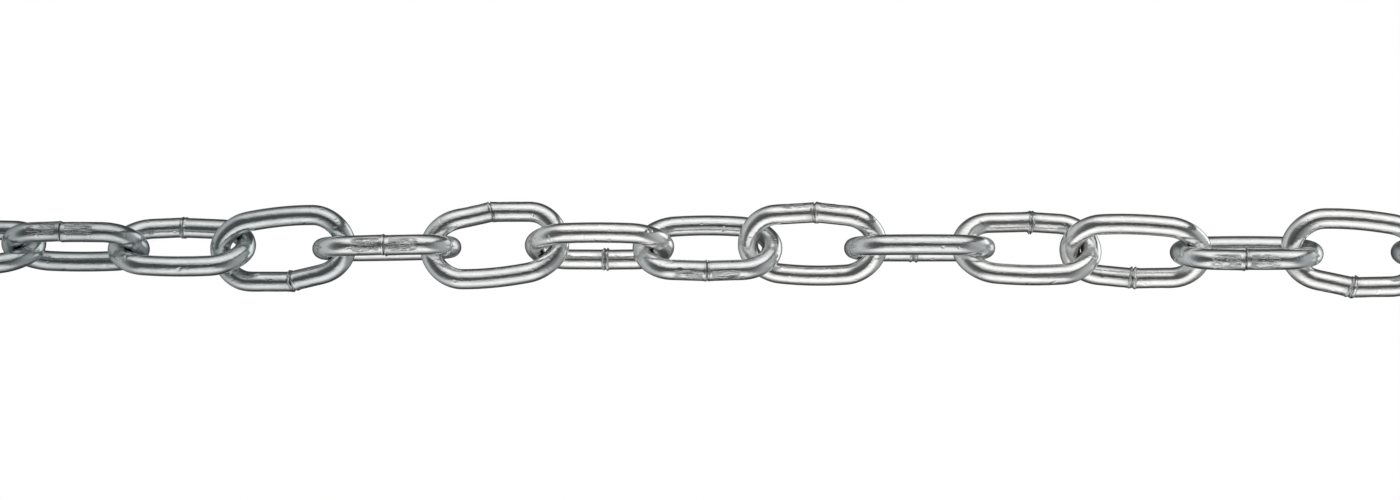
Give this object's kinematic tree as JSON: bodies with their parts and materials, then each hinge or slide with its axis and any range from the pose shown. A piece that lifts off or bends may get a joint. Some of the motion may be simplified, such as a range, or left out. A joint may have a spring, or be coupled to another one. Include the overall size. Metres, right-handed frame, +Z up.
{
  "type": "welded steel chain length",
  "caption": "Straight length of welded, zinc-plated steel chain with medium-length oval links, each butt-welded on one side, for lifting tackle, fencing and tie-downs.",
  "frame": {"origin": "on the floor under the middle of the chain's box", "axes": "+X along the chain, +Z up from the floor it lies on"},
  "size_m": [1.0148, 0.0292, 0.0256],
  "materials": {
    "zinc_plated_steel": "bright zinc plating over drawn steel wire, semi-gloss"
  },
  "bodies": {
    "root": {"link_01": "zinc_plated_steel", "link_02": "zinc_plated_steel", "link_03": "zinc_plated_steel", "link_04": "zinc_plated_steel", "link_05": "zinc_plated_steel", "link_06": "zinc_plated_steel", "link_07": "zinc_plated_steel", "link_08": "zinc_plated_steel", "link_09": "zinc_plated_steel", "link_10": "zinc_plated_steel", "link_11": "zinc_plated_steel", "link_12": "zinc_plated_steel", "link_13": "zinc_plated_steel", "link_14": "zinc_plated_steel", "link_15": "zinc_plated_steel", "link_16": "zinc_plated_steel", "link_17": "zinc_plated_steel", "link_18": "zinc_plated_steel", "link_19": "zinc_plated_steel", "link_20": "zinc_plated_steel", "link_21": "zinc_plated_steel", "link_22": "zinc_plated_steel", "link_23": "zinc_plated_steel", "link_24": "zinc_plated_steel", "link_25": "zinc_plated_steel", "link_26": "zinc_plated_steel", "link_27": "zinc_plated_steel", "link_28": "zinc_plated_steel", "link_29": "zinc_plated_steel", "link_30": "zinc_plated_steel", "link_31": "zinc_plated_steel", "link_32": "zinc_plated_steel"}
  },
  "joints": []
}
